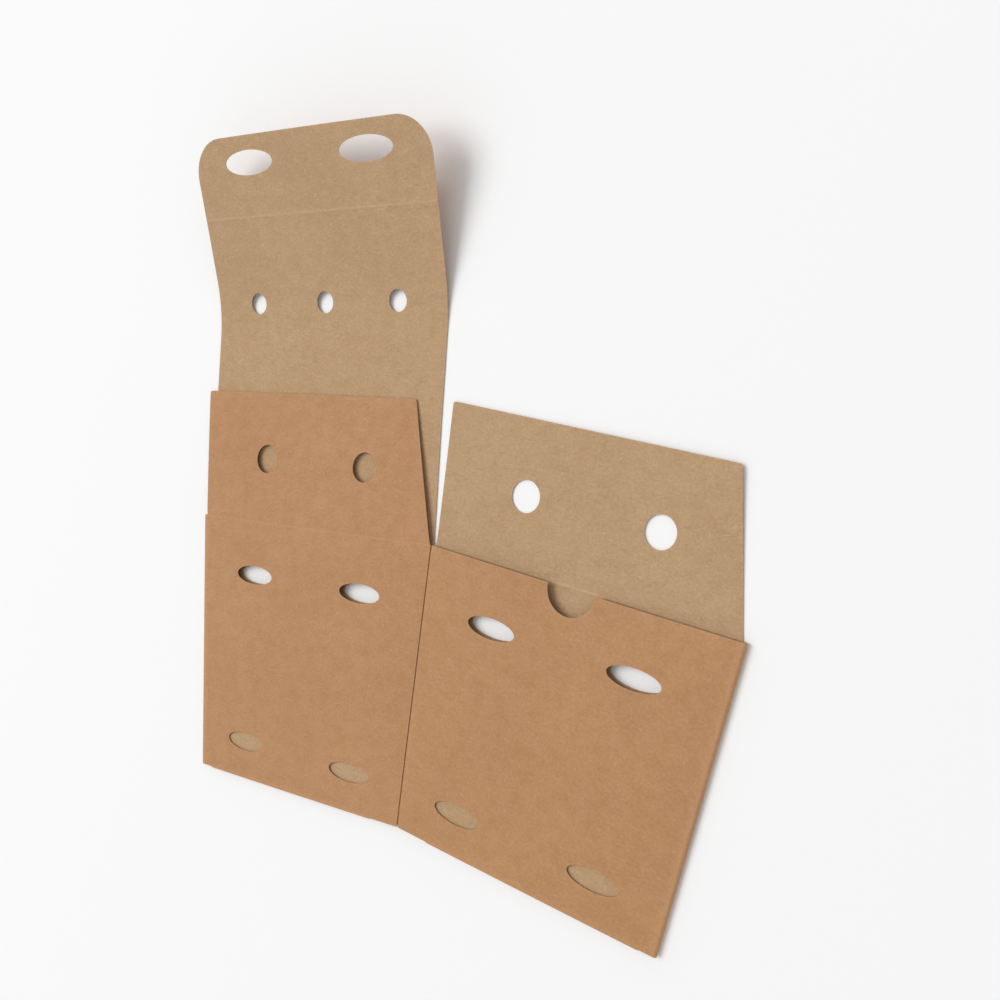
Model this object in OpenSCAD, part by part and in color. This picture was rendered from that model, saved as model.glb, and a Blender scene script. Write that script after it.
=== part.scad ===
// Fries box of kraft board, folded flat as it is supplied.
// One sheet: four tapered walls folded to a flat tube and glued at a seam,
// a lid with a tuck flap, two dust flaps and a bottom that is glued ready to
// spring open. It lies on its back, outside of the front walls up, and the
// lid runs out of the back wall in +Y. Sizes in mm.

/* [Board] */
// Thickness of the board
board_t = 0.45; // [0.35:0.05:0.7]
// Air between two plies that lie on each other
ply_gap = 0.15; // [0.1:0.05:0.25]

/* [Walls] */
// Width of each wall along its top edge
wall_top_w = 142; // [132:1:156]
// Width of each wall along its bottom edge
wall_bottom_w = 125; // [116:1:134]
// Height of each wall along its slope
wall_h = 124; // [114:1:138]
// Radius of the thumb notch in the top edge of the front wall
notch_r = 11; // [7:0.5:16]

/* [Lid] */
// Width of the lid and of its tuck flap
lid_w = 140; // [134:1:150]
// Depth of the lid from its hinge to the tuck crease
lid_d = 144; // [138:1:156]
// Depth of the tuck flap
tuck_d = 36; // [33:1:44]
// Corner radius of the tuck flap
tuck_r = 18; // [8:1:24]
// Distance from the hinge at which the lid reaches its width
lid_flare = 50; // [35:1:60]
// Part of the lid next to the hinge that stays flat
lid_flat = 88; // [80:1:96]
// Bending radius where the lid lifts
lid_bend_r = 90; // [60:5:110]
// Angle at which the free end of the lid stands up
lid_angle = 17; // [6:1:24]

/* [Dust flaps] */
// Depth of a dust flap from its crease
dust_d = 61.5; // [50:0.5:68]
// Width that the front edge of a dust flap loses towards its end
dust_taper = 13.5; // [6:0.5:20]
// Corner radius of a dust flap
dust_r = 6; // [2:0.5:9]
// Slit between a dust flap and the panels next to it
dust_slit = 1; // [0.6:0.1:1.6]

/* [Air holes] */
// Length of the oval holes in the walls
wall_hole_l = 23.5; // [16:0.5:28]
// Height of the oval holes in the walls
wall_hole_h = 8.6; // [6:0.1:11]
// Distance between the two ovals of a row in a wall
wall_hole_span = 66.4; // [50:0.2:72]
// Height of the upper ovals above the bottom edge
upper_hole_y = 98.3; // [88:0.1:106]
// Height of the lower ovals above the bottom edge
lower_hole_y = 17.5; // [13:0.1:22]
// Diameter of the holes in the dust flaps
dust_hole_d = 13.5; // [9:0.5:18]
// Distance between the two holes of a dust flap
dust_hole_span = 61; // [48:1:70]
// Height of the holes of a dust flap above its crease
dust_hole_y = 30.2; // [24:0.1:38]
// Diameter of the vents in the lid
vent_d = 10; // [6:0.5:13]
// Distance from one vent to the next
vent_pitch = 43; // [30:1:52]
// Distance of the row of vents from the lid hinge
vent_y = 104; // [97:0.5:112]
// Length of the ovals in the tuck flap
tuck_hole_l = 30; // [20:0.5:36]
// Height of the ovals in the tuck flap
tuck_hole_h = 11; // [8:0.5:13]
// Distance between the two ovals of the tuck flap
tuck_hole_span = 70; // [56:1:80]
// Height of the ovals above the tuck crease
tuck_hole_y = 24; // [18:0.5:25]

/* [Seam, creases and bottom] */
// Gap between the two wall edges that meet at the glued seam
seam_gap = 1; // [0.4:0.1:1.4]
// Width of the glue flap under the seam
glue_w = 13; // [9:0.5:14.5]
// Distance of the glue flap from the top and bottom edges
glue_end = 2; // [1:0.5:5]
// Slope of the ends of the glue flap over its width
glue_slope = 5; // [2:0.5:8]
// Depth of the pressed crease lines
crease_depth = 0.1; // [0.06:0.02:0.16]
// Radius of the rule that presses the crease lines
crease_r = 0.8; // [0.6:0.1:1.2]
// Depth of the bottom flaps that lie inside
bottom_d = 60; // [52:1:66]
// Width that a bottom flap loses on its slanted side towards its end
bottom_taper = 8; // [4:1:12]
// Width of the glued corner tab of a back bottom flap
corner_tab_w = 24; // [18:1:28]
// Distance of the corner tab from both ends of its diagonal crease
corner_tab_end = 10; // [7:1:12]

/* [Hidden] */
$fa = 4;
$fs = 0.3;

// fan of the walls: each one leans by this angle from the seam
alpha = atan((wall_top_w - wall_bottom_w) / 2 / wall_h);
slant = wall_h / cos(alpha);
half_b = wall_bottom_w / 2;
half_t = wall_top_w / 2;

// heights of the plies: 0 back, 1 back bottom flap, 2 corner tab,
// 3 front bottom flap, 4 front
pitch = board_t + ply_gap;
stack_h = 4 * pitch + board_t;
side_r = stack_h / 2;
pair_r = (pitch + board_t) / 2;

// ends of the wall folds stay clear of the corners by this much
fold_inset = 2;
// folds of the flaps end this far from the corners of the flap
flap_inset = 0.6;
// folds start to turn this far outside the edge they join
fold_out = 0.2;
// lap of a fold or a panel on the ply it grows out of
lap = 0.8;
// cuts run past the board by this much
past = 2;
// glued plies sink into each other by this much
bond = 0.1;
// reach of the glue flap under the front wall
glue_reach = 1.5;
// front bottom flaps start this far in from the back ones
flap_step = 4;
// and end this far from the glue flap
flap_clear = 3;
flap_in = fold_inset - half_b;
flap_out = half_b - glue_w - flap_clear;
// flat tail of the bent lid part, and its lap on the flat one
tail = 24;
tail_lap = 4;
// flats along the bend of the lid
bend_n = 24;
// corners of an oval hole
oval_n = 36;

// end of the lid seen from above
bend_arc = lid_bend_r * lid_angle * PI / 180;
bend_y = wall_h + lid_flat;
rise_y = bend_y + lid_bend_r * sin(lid_angle);
rise_z = lid_bend_r * (1 - cos(lid_angle));
slope_crease = lid_d - lid_flat - bend_arc;
slope_end = slope_crease + tuck_d;
corner_y = rise_y + (slope_end - tuck_r) * cos(lid_angle);
corner_x = lid_w / 2 - tuck_r;

// corners of the space the box takes, used to put the origin in its middle
x_min = cos(alpha) * (-half_b - corner_x) - sin(alpha) * corner_y
    - tuck_r * sqrt(pow(cos(alpha), 2) + pow(sin(alpha) * cos(lid_angle), 2));
x_max = cos(alpha) * (half_b + half_t) + sin(alpha) * wall_h
    - fold_inset * sin(2 * alpha) + (side_r + fold_out) * cos(2 * alpha);
y_min = -sin(alpha) * (wall_bottom_w - fold_inset - flap_inset) - cos(alpha) * (pair_r + fold_out);
y_max = sin(alpha) * (corner_x - half_b) + cos(alpha) * corner_y
    + tuck_r * sqrt(pow(sin(alpha), 2) + pow(cos(alpha) * cos(lid_angle), 2));

// points of an arc round c from angle a0 to a1
function arc(c, r, a0, a1, n = 10) =
    [for (i = [0:n]) c + r * [cos(a0 + (a1 - a0) * i / n), sin(a0 + (a1 - a0) * i / n)]];

// oval hole, 2a long and 2b high
module oval(a, b) {
    polygon([for (i = [1:oval_n]) [a * cos(360 * i / oval_n), b * sin(360 * i / oval_n)]]);
}

// frame of the left pair of walls, bottom edge on x, middle of the wall at x = 0
module on_left() {
    rotate([0, 0, alpha])
        translate([-half_b, 0, 0])
            children();
}

// the same frame mirrored over the seam
module on_right() {
    mirror([1, 0, 0])
        on_left()
            children();
}

// one ply of board at level k
module ply(k) {
    translate([0, 0, k * pitch])
        linear_extrude(board_t)
            children();
}

module wall_outline() {
    polygon([[-half_b, 0], [half_b, 0], [half_t, wall_h], [-half_t, wall_h]]);
}

module wall_holes() {
    for (x = [-1, 1], y = [lower_hole_y, upper_hole_y])
        translate([x * wall_hole_span / 2, y])
            oval(wall_hole_l / 2, wall_hole_h / 2);
}

// dust flap: its edge on the left runs on along the wall corner, the other tapers
module dust_outline() {
    top = wall_h + dust_d;
    x_in = dust_slit - half_t;
    x_back = x_in - dust_d * tan(alpha);
    x_out = half_t - dust_slit;
    lean = atan(dust_taper / dust_d);
    x_front = x_out - dust_taper;
    step = dust_r * tan(45 - lean / 2);
    foot = wall_h - lap;
    polygon(concat(
        [[x_in + lap * tan(alpha), foot], [x_out + lap * tan(lean), foot]],
        arc([x_front - step, top - dust_r], dust_r, lean, 90),
        arc([x_back + dust_r, top - dust_r], dust_r, 90, 180 + alpha)
    ));
}

module dust_holes() {
    for (x = [-1, 1])
        translate([x * dust_hole_span / 2, wall_h + dust_hole_y])
            circle(d = dust_hole_d);
}

// flat part of the lid, from the hinge on
module lid_foot() {
    x_in = half_t - dust_slit / 2;
    x_out = lid_w / 2;
    x_foot = x_in - (x_out - x_in) * lap / lid_flare;
    foot = wall_h - lap;
    full = wall_h + lid_flare;
    end = bend_y - tail + tail_lap;
    polygon([
        [-x_foot, foot], [x_foot, foot], [x_out, full],
        [x_out, end], [-x_out, end], [-x_out, full]
    ]);
}

// section of the lid from the flat part to its free edge: y to the right, z up
module lid_section() {
    c = [bend_y, lid_bend_r];
    up = -90 + lid_angle;
    run = slope_end * [cos(lid_angle), sin(lid_angle)];
    under = arc(c, lid_bend_r, -90, up, bend_n);
    over = arc(c, lid_bend_r - board_t, up, -90, bend_n);
    polygon(concat(
        [[bend_y - tail, 0]], under, [under[bend_n] + run],
        [over[0] + run], over, [[bend_y - tail, board_t]]
    ));
}

// frame of the rising part of the lid
module on_slope() {
    translate([0, rise_y, rise_z])
        rotate([lid_angle, 0, 0])
            children();
}

// straight crease line of length l along x, pressed into the face at z = 0
module crease(l) {
    translate([-l / 2, 0, crease_r - crease_depth])
        rotate([0, 90, 0])
            cylinder(r = crease_r, h = l);
}

module lid_rise() {
    vent_a = (vent_y - lid_flat) / lid_bend_r * 180 / PI;
    difference() {
        translate([-lid_w / 2, 0, 0])
            rotate([90, 0, 90])
                linear_extrude(lid_w)
                    lid_section();
        // rounded corners of the tuck flap
        on_slope()
            for (s = [0, 1])
                mirror([s, 0, 0])
                    translate([corner_x, slope_end - tuck_r, -past])
                        linear_extrude(board_t + 2 * past)
                            difference() {
                                square(tuck_r + past);
                                circle(r = tuck_r);
                            }
        on_slope()
            for (s = [-1, 1])
                translate([s * tuck_hole_span / 2, slope_crease + tuck_hole_y, -past])
                    linear_extrude(board_t + 2 * past)
                        oval(tuck_hole_l / 2, tuck_hole_h / 2);
        on_slope()
            translate([0, slope_crease, board_t])
                crease(lid_w + 2 * past);
        // vents stand square to the bent part
        translate([0, bend_y, lid_bend_r])
            rotate([vent_a, 0, 0])
                for (x = [-1, 0, 1])
                    translate([x * vent_pitch, 0, -lid_bend_r - past])
                        cylinder(d = vent_d, h = board_t + 2 * past);
    }
}

// half ring of board that joins two plies, bulging to +x, with laps to -x
module fold_section(r) {
    translate([fold_out, 0])
        intersection() {
            difference() {
                circle(r = r, $fn = 48);
                circle(r = r - board_t, $fn = 48);
            }
            translate([0, -2 * r])
                square(4 * r);
        }
    translate([-lap, r - board_t])
        square([lap + fold_out, board_t]);
    translate([-lap, -r])
        square([lap + fold_out, board_t]);
}

// fold along +y of length l, bulging to -x
module fold(l, r) {
    rotate([90, 0, 180])
        linear_extrude(l)
            fold_section(r);
}

// left edge of the flat tube
module side_fold() {
    on_left()
        translate([-half_b, 0, side_r])
            rotate([0, 0, alpha])
                translate([0, fold_inset, 0])
                    fold(slant - 2 * fold_inset, side_r);
}

// fold of a bottom flap under the wall, between levels k and k + 1
module bottom_fold(k, x0, x1) {
    translate([x1 - flap_inset, 0, k * pitch + pair_r])
        rotate([0, 0, 90])
            fold(x1 - x0 - 2 * flap_inset, pair_r);
}

// bottom flaps of one pair of walls, glued to each other by the corner tab
module bottom_pair() {
    back_out = half_b - fold_inset;
    front_in = flap_in + flap_step;
    ply(1)
        polygon([
            [flap_in, 0], [back_out, 0],
            [back_out - bottom_taper, bottom_d], [flap_in + bottom_d, bottom_d]
        ]);
    bottom_fold(0, flap_in, back_out);
    ply(3)
        polygon([
            [front_in, 0], [flap_out, 0],
            [flap_out, bottom_d], [front_in + bottom_taper, bottom_d]
        ]);
    bottom_fold(3, front_in, flap_out);
    translate([flap_in, 0, 0])
        rotate([0, 0, -45])
            corner_tab();
}

// tab of the back bottom flap, turned over along the diagonal (here y)
// and glued under the front flap
module corner_tab() {
    y0 = corner_tab_end;
    y1 = bottom_d * sqrt(2) - corner_tab_end;
    translate([0, 0, 2 * pitch])
        linear_extrude(pitch + bond)
            polygon([
                [0, y0], [corner_tab_w, y0 + corner_tab_w],
                [corner_tab_w, y1 - corner_tab_w / 2], [0, y1]
            ]);
    translate([0, y0 + flap_inset, pitch + pair_r])
        fold(y1 - y0 - 2 * flap_inset, pair_r);
}

// front walls: side wall with its dust flap on the left, front wall on the right
module front_plies() {
    difference() {
        union() {
            on_left()
                ply(4)
                    difference() {
                        union() {
                            wall_outline();
                            dust_outline();
                        }
                        wall_holes();
                        dust_holes();
                    }
            on_right()
                ply(4)
                    difference() {
                        wall_outline();
                        wall_holes();
                        translate([0, wall_h])
                            circle(r = notch_r);
                    }
        }
        translate([-seam_gap / 2, -past, 4 * pitch])
            cube([seam_gap, slant + 2 * past, board_t + past]);
        on_left()
            translate([0, wall_h, stack_h])
                crease(wall_top_w + 2 * past);
    }
}

// outline of both back walls, which run into each other at x = 0
module back_walls() {
    foot_x = wall_bottom_w * cos(alpha);
    foot_y = -wall_bottom_w * sin(alpha);
    head_x = cos(alpha) * (half_b + half_t) + sin(alpha) * wall_h;
    head_y = cos(alpha) * wall_h - sin(alpha) * (half_b + half_t);
    polygon([
        [0, 0], [foot_x, foot_y], [head_x, head_y],
        [0, slant], [-head_x, head_y], [-foot_x, foot_y]
    ]);
}

// back walls: back wall with the lid on the left, side wall with dust flap on the right
module back_plies() {
    difference() {
        ply(0)
            difference() {
                union() {
                    back_walls();
                    on_left()
                        lid_foot();
                    on_right()
                        mirror([1, 0])
                            dust_outline();
                }
                on_left()
                    wall_holes();
                on_right() {
                    wall_holes();
                    dust_holes();
                }
            }
        on_left()
            translate([0, wall_h, board_t])
                crease(wall_top_w + 2 * past);
        on_right()
            translate([0, wall_h, board_t])
                crease(wall_top_w + 2 * past);
        // crease between the two back walls, pressed from outside
        translate([0, slant / 2, 0])
            rotate([180, 0, 90])
                crease(slant + 2 * past);
    }
    on_left()
        lid_rise();
}

// flap that holds the seam, fixed under both wall edges
module glue_flap() {
    translate([0, 0, 3 * pitch])
        linear_extrude(pitch + bond)
            polygon([
                [-glue_w, glue_end + glue_slope], [glue_reach, glue_end],
                [glue_reach, slant - glue_end], [-glue_w, slant - glue_end - glue_slope]
            ]);
}

module fries_box() {
    color([0.72, 0.54, 0.4])
        translate([-(x_min + x_max) / 2, -(y_min + y_max) / 2, 0]) {
            front_plies();
            back_plies();
            glue_flap();
            side_fold();
            mirror([1, 0, 0])
                side_fold();
            on_left()
                bottom_pair();
            on_right()
                bottom_pair();
        }
}

fries_box();
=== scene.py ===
"""Fries box of kraft board, folded flat, as one sheet that is cut and then folded.

The whole box is one blank. Its outline, air holes and crease lines are laid
out flat, the flat blank is cut into small triangles, and a chain of folding
formulas carries every point of the blank to its place in the folded box.
"""
import math
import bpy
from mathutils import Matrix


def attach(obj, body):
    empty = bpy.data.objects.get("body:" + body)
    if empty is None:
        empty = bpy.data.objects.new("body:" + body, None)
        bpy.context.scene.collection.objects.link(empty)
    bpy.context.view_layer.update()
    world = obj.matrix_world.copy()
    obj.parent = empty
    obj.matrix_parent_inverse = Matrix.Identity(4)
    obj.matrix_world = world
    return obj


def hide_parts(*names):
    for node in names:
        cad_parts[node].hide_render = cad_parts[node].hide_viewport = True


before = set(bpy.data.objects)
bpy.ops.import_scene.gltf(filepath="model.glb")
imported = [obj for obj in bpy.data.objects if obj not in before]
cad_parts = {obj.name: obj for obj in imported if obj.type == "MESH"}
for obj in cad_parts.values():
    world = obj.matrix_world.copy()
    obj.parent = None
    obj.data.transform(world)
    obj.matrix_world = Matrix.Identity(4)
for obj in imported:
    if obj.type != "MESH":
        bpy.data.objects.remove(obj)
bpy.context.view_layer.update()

from types import SimpleNamespace

import bpy
import numpy as np
from bpy.props import FloatProperty, FloatVectorProperty, PointerProperty
from mathutils import Euler, Vector
from mathutils.geometry import delaunay_2d_cdt

bl_info = {
    "name": "Flat fries box",
    "version": (1, 0, 0),
    "blender": (4, 5, 0),
    "location": "3D View > Sidebar > Fries box",
    "description": "Cuts and folds a fries box of kraft board and sets its stage",
    "category": "Add Mesh",
}

MM = 0.001
NODE = "fries_box"
PIECE = "folded_board"
BLANK_UV = "blank"
OUTSIDE, INSIDE, CUT_EDGE = 0, 1, 2

# Points of the cuts
OVAL_POINTS = 64
ROUND_POINTS = 48
TUCK_OVAL_POINTS = 72
NOTCH_POINTS = 33
TUCK_CORNER_POINTS = 24
DUST_CORNER_POINTS = 5

# Rows over the folds and points along them
SIDE_ROWS = 11
FLAP_ROWS = 7
ROW_POINTS = 48
CREASE_POINTS = 54
TAB_POINTS = 28

# In mm: rows beside a crease, and how far from the ends of each crease they stop
CREASE_ROWS = np.array([-1.0, -0.5, -0.22, 0.0, 0.22, 0.5, 1.0])
HINGE_END = 0.6
CORNER_END = 1.2
STEP_END = 1.0

# In mm: points closer than this are one, and lower triangles are dropped
MERGE = 1e-4
LEAST_HEIGHT = 0.001

# Room round the points beside a cut and of the lattice, as shares of rim and cell
RIM_ROOM = 0.7
CELL_ROOM = 0.55

# Points that are compared in one go
INSIDE_BATCH = 1500
CLEAR_BATCH = 800

# Wear beside the folds: widths in mm, shares on pressed lines, and where a fold begins
SIDE_WEAR = 0.8
FLAP_WEAR = 0.6
CREASE_SHARE = 0.8
CORNER_SHARE = 0.6
IN_FOLD = 0.5

# Shares: of the seam gap that the glue flap steps down in, of the spring left at the
# foot, of the dust flap's rise that leans to one side, of the lid's twist that bows it
STEP_SHARE = 0.9
FOOT_SHARE = 0.25
LEAN_SHARE = 0.4
BOW_SHARE = 0.6

# Kraft finish. Noises: scale per metre, detail, roughness
KRAFT_NOISES = {
    "clouds": (24.0, 3.0, 0.5),
    "mottle": (150.0, 5.0, 0.55),
    "grain": (800.0, 4.0, 0.65),
    "specks": (520.0, 1.0, 0.5),
}
# Nets of fibres: turns of their directions and a shift
FIBRE_NETS = {
    "dark": ((0.25, 1.2, 2.3), 0.0),
    "pale": ((0.75, 1.75, 2.85), 3.0),
}
FIBRE_SCALE = (300.0, 1500.0, 1.0)
FIBRE_DETAIL = 2.0
WAVE_SCALE, WAVE_REACH, WAVE_DETAIL = 110.0, 0.006, 2.0
# Layers: pattern, where it starts and is full, strength, shade
KRAFT_LAYERS = (
    ("clouds", 0.38, 0.66, 0.45, 0.86),
    ("mottle", 0.42, 0.7, 0.5, 0.84),
    ("grain", 0.5, 0.72, 0.4, 1.24),
    ("grain", 0.5, 0.3, 0.4, 0.78),
    ("dark", 0.62, 0.74, 0.3, 0.62),
    ("pale", 0.62, 0.74, 0.26, 1.4),
    ("specks", 0.76, 0.81, 0.45, 0.5),
)
# Rubbed places: value on the mesh, pattern, its range, least and most rubbing
RUBBED_LAYERS = (
    ("fold_wear", "mottle", 0.3, 0.6, 0.1, 0.35),
    ("cut_wear", "grain", 0.35, 0.65, 0.0, 0.25),
)
RUBBED_SHADE = 1.35
# Noises and layers of the core that shows at the cuts
CORE_NOISES = {
    "fibres": (1800.0, 3.0, 0.7),
    "runs": (140.0, 2.0, 0.5),
}
CORE_LAYERS = (
    ("fibres", 0.4, 0.7, 0.7, 1.35),
    ("runs", 0.45, 0.7, 0.5, 0.75),
)
GRAIN_RELIEF = 1.5
RELIEF_STRENGTH, RELIEF_DEPTH = 0.5, 0.00003
OUTSIDE_ROUGH, INSIDE_ROUGH, ROUGH_SPREAD = 0.62, 0.74, 0.14
OUTSIDE_SHIFT, INSIDE_SHIFT = (0.0, 0.0, 0.0), (0.37, 0.91, 0.5)
# Powers by which red, green and blue follow the shade of a fibre
FIBRE_POWERS = (0.93, 1.22, 1.65)

# Sockets of the colour mix node
MIX_FACTOR, MIX_FIRST, MIX_SECOND, MIX_RESULT = 0, 6, 7, 2

SENSOR_MM = 36.0
CLIP_START = 0.01


# Sizes and colours

def length(name, description, default):
    """A length in metres, shown with its unit."""
    return FloatProperty(name=name, description=description, default=default, min=0.0,
                         precision=5, subtype="DISTANCE", unit="LENGTH")


def angle(name, description, degrees):
    """An angle, given here in degrees."""
    return FloatProperty(name=name, description=description, default=math.radians(degrees),
                         subtype="ANGLE", unit="ROTATION")


def place(name, description, default):
    """A place in metres."""
    return FloatVectorProperty(name=name, description=description, default=default, size=3,
                               precision=5, subtype="TRANSLATION", unit="LENGTH")


def colour(name, description, default):
    """A linear colour without alpha."""
    return FloatVectorProperty(name=name, description=description, default=default,
                               min=0.0, max=1.0, size=3, subtype="COLOR")


class FriesBoxSizes(bpy.types.PropertyGroup):
    """Sizes of the blank and of its folds."""

    board: length("Board", "Thickness of the board", 0.00045)
    ply_pitch: length("Ply pitch", "Height from one ply to the next", 0.0006)
    wall_top: length("Wall top", "Width of a wall along its top edge", 0.142)
    wall_bottom: length("Wall bottom", "Width of a wall along its bottom edge", 0.125)
    wall_height: length("Wall height", "Height of a wall", 0.124)
    notch_radius: length("Thumb notch", "Radius of the notch in the front wall", 0.011)
    lid_width: length("Lid width", "Width of the lid and its tuck flap", 0.140)
    lid_depth: length("Lid depth", "From the hinge to the tuck crease", 0.144)
    lid_flare: length("Lid flare", "Where the lid reaches its width", 0.050)
    tuck_depth: length("Tuck depth", "Depth of the tuck flap", 0.036)
    tuck_radius: length("Tuck corners", "Corner radius of the tuck flap", 0.018)
    lid_flat: length("Flat lid", "Part of the lid that stays flat", 0.088)
    bend_radius: length("Lid bend", "Radius at which the lid bends up", 0.090)
    bend_angle: angle("Lid angle", "Slope of the free end of the lid", 17.0)
    dust_depth: length("Dust flap depth", "Depth of a dust flap", 0.0615)
    dust_taper: length("Dust flap taper", "Width the front edge loses", 0.0135)
    dust_radius: length("Dust flap corners", "Corner radius of a dust flap", 0.0012)
    dust_slit: length("Dust flap slit", "Slit beside a dust flap", 0.001)
    wall_hole_length: length("Wall oval length", "Length of the wall holes", 0.0235)
    wall_hole_height: length("Wall oval height", "Height of the wall holes", 0.0086)
    wall_hole_span: length("Wall oval span", "Between the holes of a row", 0.0664)
    upper_hole: length("Upper ovals", "Height of the upper wall holes", 0.0983)
    lower_hole: length("Lower ovals", "Height of the lower wall holes", 0.0175)
    dust_hole: length("Dust flap holes", "Diameter of the dust flap holes", 0.0135)
    dust_hole_span: length("Dust hole span", "Between the holes of a dust flap", 0.061)
    dust_hole_row: length("Dust hole row", "Dust flap holes above the crease", 0.0302)
    vent: length("Vents", "Diameter of the vents in the lid", 0.010)
    vent_pitch: length("Vent pitch", "From one vent to the next", 0.043)
    vent_row: length("Vent row", "Vents above the hinge", 0.104)
    tuck_hole_length: length("Tuck oval length", "Length of the tuck holes", 0.030)
    tuck_hole_height: length("Tuck oval height", "Height of the tuck holes", 0.011)
    tuck_hole_span: length("Tuck oval span", "Between the tuck holes", 0.070)
    tuck_hole_row: length("Tuck oval row", "Tuck holes above the tuck crease", 0.024)
    seam_gap: length("Seam gap", "Between the wall edges at the seam", 0.001)
    glue_width: length("Glue flap", "Width of the glue flap", 0.013)
    glue_end: length("Glue flap end", "From the ends of the seam", 0.002)
    glue_slope: length("Glue flap slope", "Slope of its ends", 0.005)
    glue_clear: length("Glue flap clearance", "From the glue flap to the bottom flap", 0.003)
    flap_depth: length("Bottom flaps", "Depth of the bottom flaps", 0.060)
    flap_taper: length("Bottom flap taper", "Width lost on the slanted side", 0.008)
    flap_inset: length("Bottom flap inset", "From the wall corner", 0.002)
    flap_step: length("Bottom flap step", "How much further in the front flaps start", 0.004)
    tab_width: length("Corner tab", "Width of the glued corner tab", 0.024)
    tab_end: length("Corner tab end", "From the ends of its crease", 0.010)
    crease_depth: length("Crease depth", "Depth of the pressed lines", 0.0002)
    crease_width: length("Crease width", "Half width of the pressed lines", 0.0005)
    rim: length("Cut rim", "Width of the rim pressed down by the cut", 0.0008)
    rim_press: length("Rim press", "How much thinner the board is at a cut", 0.00012)
    mouth_spring: length("Mouth spring", "Rise of the front walls at the mouth", 0.0009)
    belly: length("Belly", "How far the front walls stand off the flaps under them", 0.0009)
    flap_sink: length("Flap sink", "Fall of the front dust flap to the lid", 0.0014)
    flap_lift: length("Flap lift", "Rise of the back dust flap at its end", 0.0014)
    lid_twist: length("Lid twist", "Rise of one corner of the lid", 0.0012)
    cell: length("Cell", "Size of the triangles of the sheet", 0.0028)
    seam_foot: place("Seam foot", "Foot of the seam on the floor", (0.0043074, -0.1451423, 0.0))


class FriesBoxFinish(bpy.types.PropertyGroup):
    """Colours of the board."""

    outside: colour("Outside", "Outer face of the kraft board", (0.469, 0.247, 0.112))
    inside: colour("Inside", "Inner face of the kraft board", (0.485, 0.316, 0.175))
    cut_edge: colour("Cut edge", "Core of the board at its cuts", (0.540, 0.345, 0.205))


class FriesBoxStage(bpy.types.PropertyGroup):
    """Floor, lights and camera."""

    floor: colour("Floor", "Pale floor under the box", (0.94, 0.94, 0.94))
    floor_size: length("Floor size", "Side of the floor", 8.0)
    floor_gap: length("Floor gap", "Air between the floor and the lowest ply", 0.0002)
    fade_near: length("Fade start", "Where the floor starts to run into the backdrop", 0.9)
    fade_far: length("Fade end", "Where the floor has run into the backdrop", 2.4)
    eye: place("Camera", "Place of the camera", (0.27981, 0.04149, 0.36637))
    tilt: angle("Camera tilt", "Turn of the camera about X", -0.0851)
    lean: angle("Camera lean", "Turn of the camera about Y", 34.1467)
    roll: angle("Camera roll", "Turn of the camera about Z", 8.7271)
    lens: FloatProperty(name="Lens", description="Focal length on a 36 mm sensor", default=38.9745,
                        unit="CAMERA")
    sky: FloatProperty(name="Sky", description="Strength of the even light", default=0.58)
    backdrop: colour("Backdrop", "What shows beyond the floor", (0.955, 0.955, 0.955))
    key: FloatProperty(name="Key", description="Power of the large soft lamp", default=420.0,
                       unit="POWER")
    key_size: length("Key size", "Diameter of the large soft lamp", 6.6)
    key_place: place("Key place", "Place of the large soft lamp", (-4.5, 1.35, 7.2))


# Plan of the blank. Lengths in mm, origin at the foot of the back corner line.

def plan_of(sizes):
    """Sizes in mm and what follows from them: the fan angle and the fold lines.

    The walls are tapered, so the four of them fan out round one far point. In
    the left frame a wall has its bottom edge on x and its middle at x = 0; the
    frame is turned by the fan angle and shifted so that the wall's right edge
    falls on the line x = 0 of the blank. The left fold line runs from `foot`
    along `along`, with `out` square to it. The front walls lie four plies above
    the back ones, and a bottom flap lies one ply from its wall.
    """
    p = SimpleNamespace()
    for key in FriesBoxSizes.__annotations__:
        value = getattr(sizes, key)
        setattr(p, key, value / MM if isinstance(value, float) else np.array(value) / MM)
    p.bend_angle = sizes.bend_angle
    p.half_b, p.half_t = p.wall_bottom / 2, p.wall_top / 2
    p.fan = math.atan((p.half_t - p.half_b) / p.wall_height)
    p.cos, p.sin = math.cos(p.fan), math.sin(p.fan)
    p.slant = p.wall_height / p.cos
    p.back_z = p.board / 2
    p.front_z = p.board / 2 + 4 * p.ply_pitch
    p.side_bend = 2 * p.ply_pitch
    p.side_strip = math.pi * p.side_bend
    p.flap_bend = p.ply_pitch / 2
    p.flap_strip = math.pi * p.flap_bend
    p.foot = np.array(turned(p, -p.half_b, 0.0))
    p.along = np.array([-math.sin(2 * p.fan), math.cos(2 * p.fan)])
    p.out = np.array([-math.cos(2 * p.fan), -math.sin(2 * p.fan)])
    p.back_in = p.flap_inset - p.half_b
    p.back_out = p.half_b - p.flap_inset
    p.front_in = p.back_in + p.flap_step
    p.front_out = p.half_b - p.glue_width - p.glue_clear
    p.diag_end = p.flap_depth * math.sqrt(2.0)
    return p


def turned(p, x, y):
    """From the left wall frame to the blank: shift by half a wall, turn by the fan angle."""
    return p.cos * (x - p.half_b) - p.sin * y, p.sin * (x - p.half_b) + p.cos * y


def turned_back(p, x, y):
    """From the blank to the left wall frame: turn back, shift back."""
    return p.cos * x + p.sin * y + p.half_b, -p.sin * x + p.cos * y


def back_panel(p, points):
    """Blank place of points on the back wall of the left pair."""
    points = np.asarray(points, float)
    return np.stack(turned(p, points[..., 0], points[..., 1]), axis=-1)


def front_panel(p, points):
    """Blank place of points on the front wall of the left pair.

    The folded place is mirrored over the fold line and moved out by the arc
    length of the fold, which is half a turn of its bending radius.
    """
    rel = back_panel(p, points) - p.foot
    a, s = rel @ p.along, rel @ p.out
    return p.foot + a[..., None] * p.along + (p.side_strip - s)[..., None] * p.out


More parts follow.
